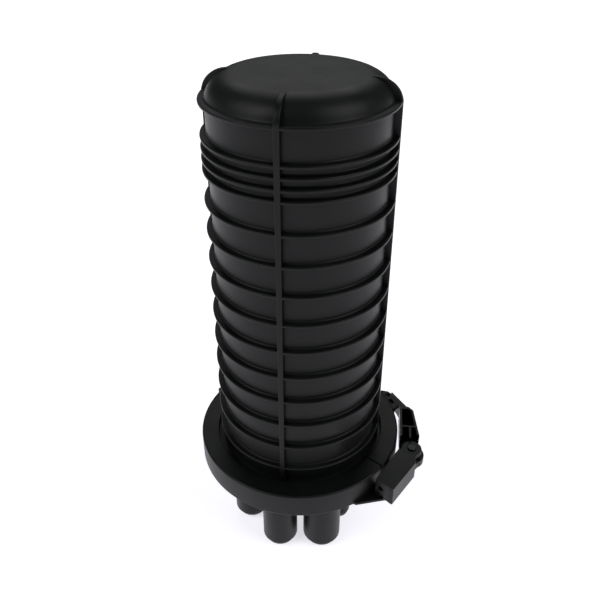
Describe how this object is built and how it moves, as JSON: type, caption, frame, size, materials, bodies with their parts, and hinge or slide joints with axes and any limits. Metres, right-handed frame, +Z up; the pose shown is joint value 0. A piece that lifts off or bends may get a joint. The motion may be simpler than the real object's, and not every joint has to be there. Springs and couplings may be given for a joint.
{
  "type": "dome splice closure",
  "caption": "Tall ribbed black dome clamped to a base with blind cable ports by a hinged split hoop with an over-centre draw latch, with splice trays inside.",
  "frame": {"origin": "centre of the base's hub face, on the dome's axis", "axes": "+Z up along the dome's axis, -Y towards the two main ports, the latch at +X"},
  "size_m": [0.2238, 0.2, 0.4695],
  "materials": {
    "dome_plastic": "satin moulded black polypropylene",
    "base_plastic": "satin moulded black polypropylene",
    "hoop_plastic": "satin glass-filled black plastic",
    "latch_plastic": "satin glass-filled black plastic, a little glossier",
    "steel": "plain stainless steel",
    "frame_metal": "mill finish sheet",
    "seal_rubber": "smooth black rubber",
    "tray_plastic": "off-white moulded plastic",
    "cover_plastic": "clear lid, modelled pale",
    "holder_rubber": "soft ivory rubber",
    "strap_fabric": "black woven band",
    "brass": "plain brass"
  },
  "bodies": {
    "closure": {"base": "base_plastic", "dome": "dome_plastic", "hoop_front": "hoop_plastic", "hoop_hinge_pin": "steel", "seal_ring": "seal_rubber", "support_frame": "frame_metal", "frame_screws": "steel", "tray_bracket": "tray_plastic", "tray_cover": "cover_plastic", "tray_hinge_pins": "steel", "slack_basket": "tray_plastic", "tray_strap": "strap_fabric", "cable_anchors": "tray_plastic", "anchor_screws": "steel", "strength_clamps": "steel", "earth_stud": "brass", "splice_tray_1": "tray_plastic", "splice_tray_2": "tray_plastic", "splice_tray_3": "tray_plastic", "splice_tray_4": "tray_plastic", "splice_holder_1": "holder_rubber", "splice_holder_2": "holder_rubber", "splice_holder_3": "holder_rubber", "splice_holder_4": "holder_rubber"},
    "rear_half": {"hoop_rear": "hoop_plastic", "fulcrum_pin": "steel"},
    "lever": {"latch_lever": "latch_plastic", "link_pin": "steel"},
    "link": {"latch_link": "latch_plastic"}
  },
  "joints": [
    {"name": "hoop_hinge", "type": "hinge", "parent": "closure", "child": "rear_half", "pos_m": [-0.08195, 0.06403, 0.025], "axis": [0, 0, 1], "range_deg": [0, 2]},
    {"name": "lever_fulcrum", "type": "hinge", "parent": "rear_half", "child": "lever", "pos_m": [0.09961, -0.05185, 0.025], "axis": [0, 0, -1], "range_deg": [0, 90]},
    {"name": "link_pivot", "type": "hinge", "parent": "lever", "child": "link", "pos_m": [0.11127, -0.0332, 0.025], "axis": [0, 0, 1], "range_deg": [0, 130.6]}
  ],
  "couplings": [
    {"joint": "hoop_hinge", "follows": "lever_fulcrum", "ratio": 0.0222},
    {"joint": "link_pivot", "follows": "lever_fulcrum", "ratio": 1.45}
  ]
}
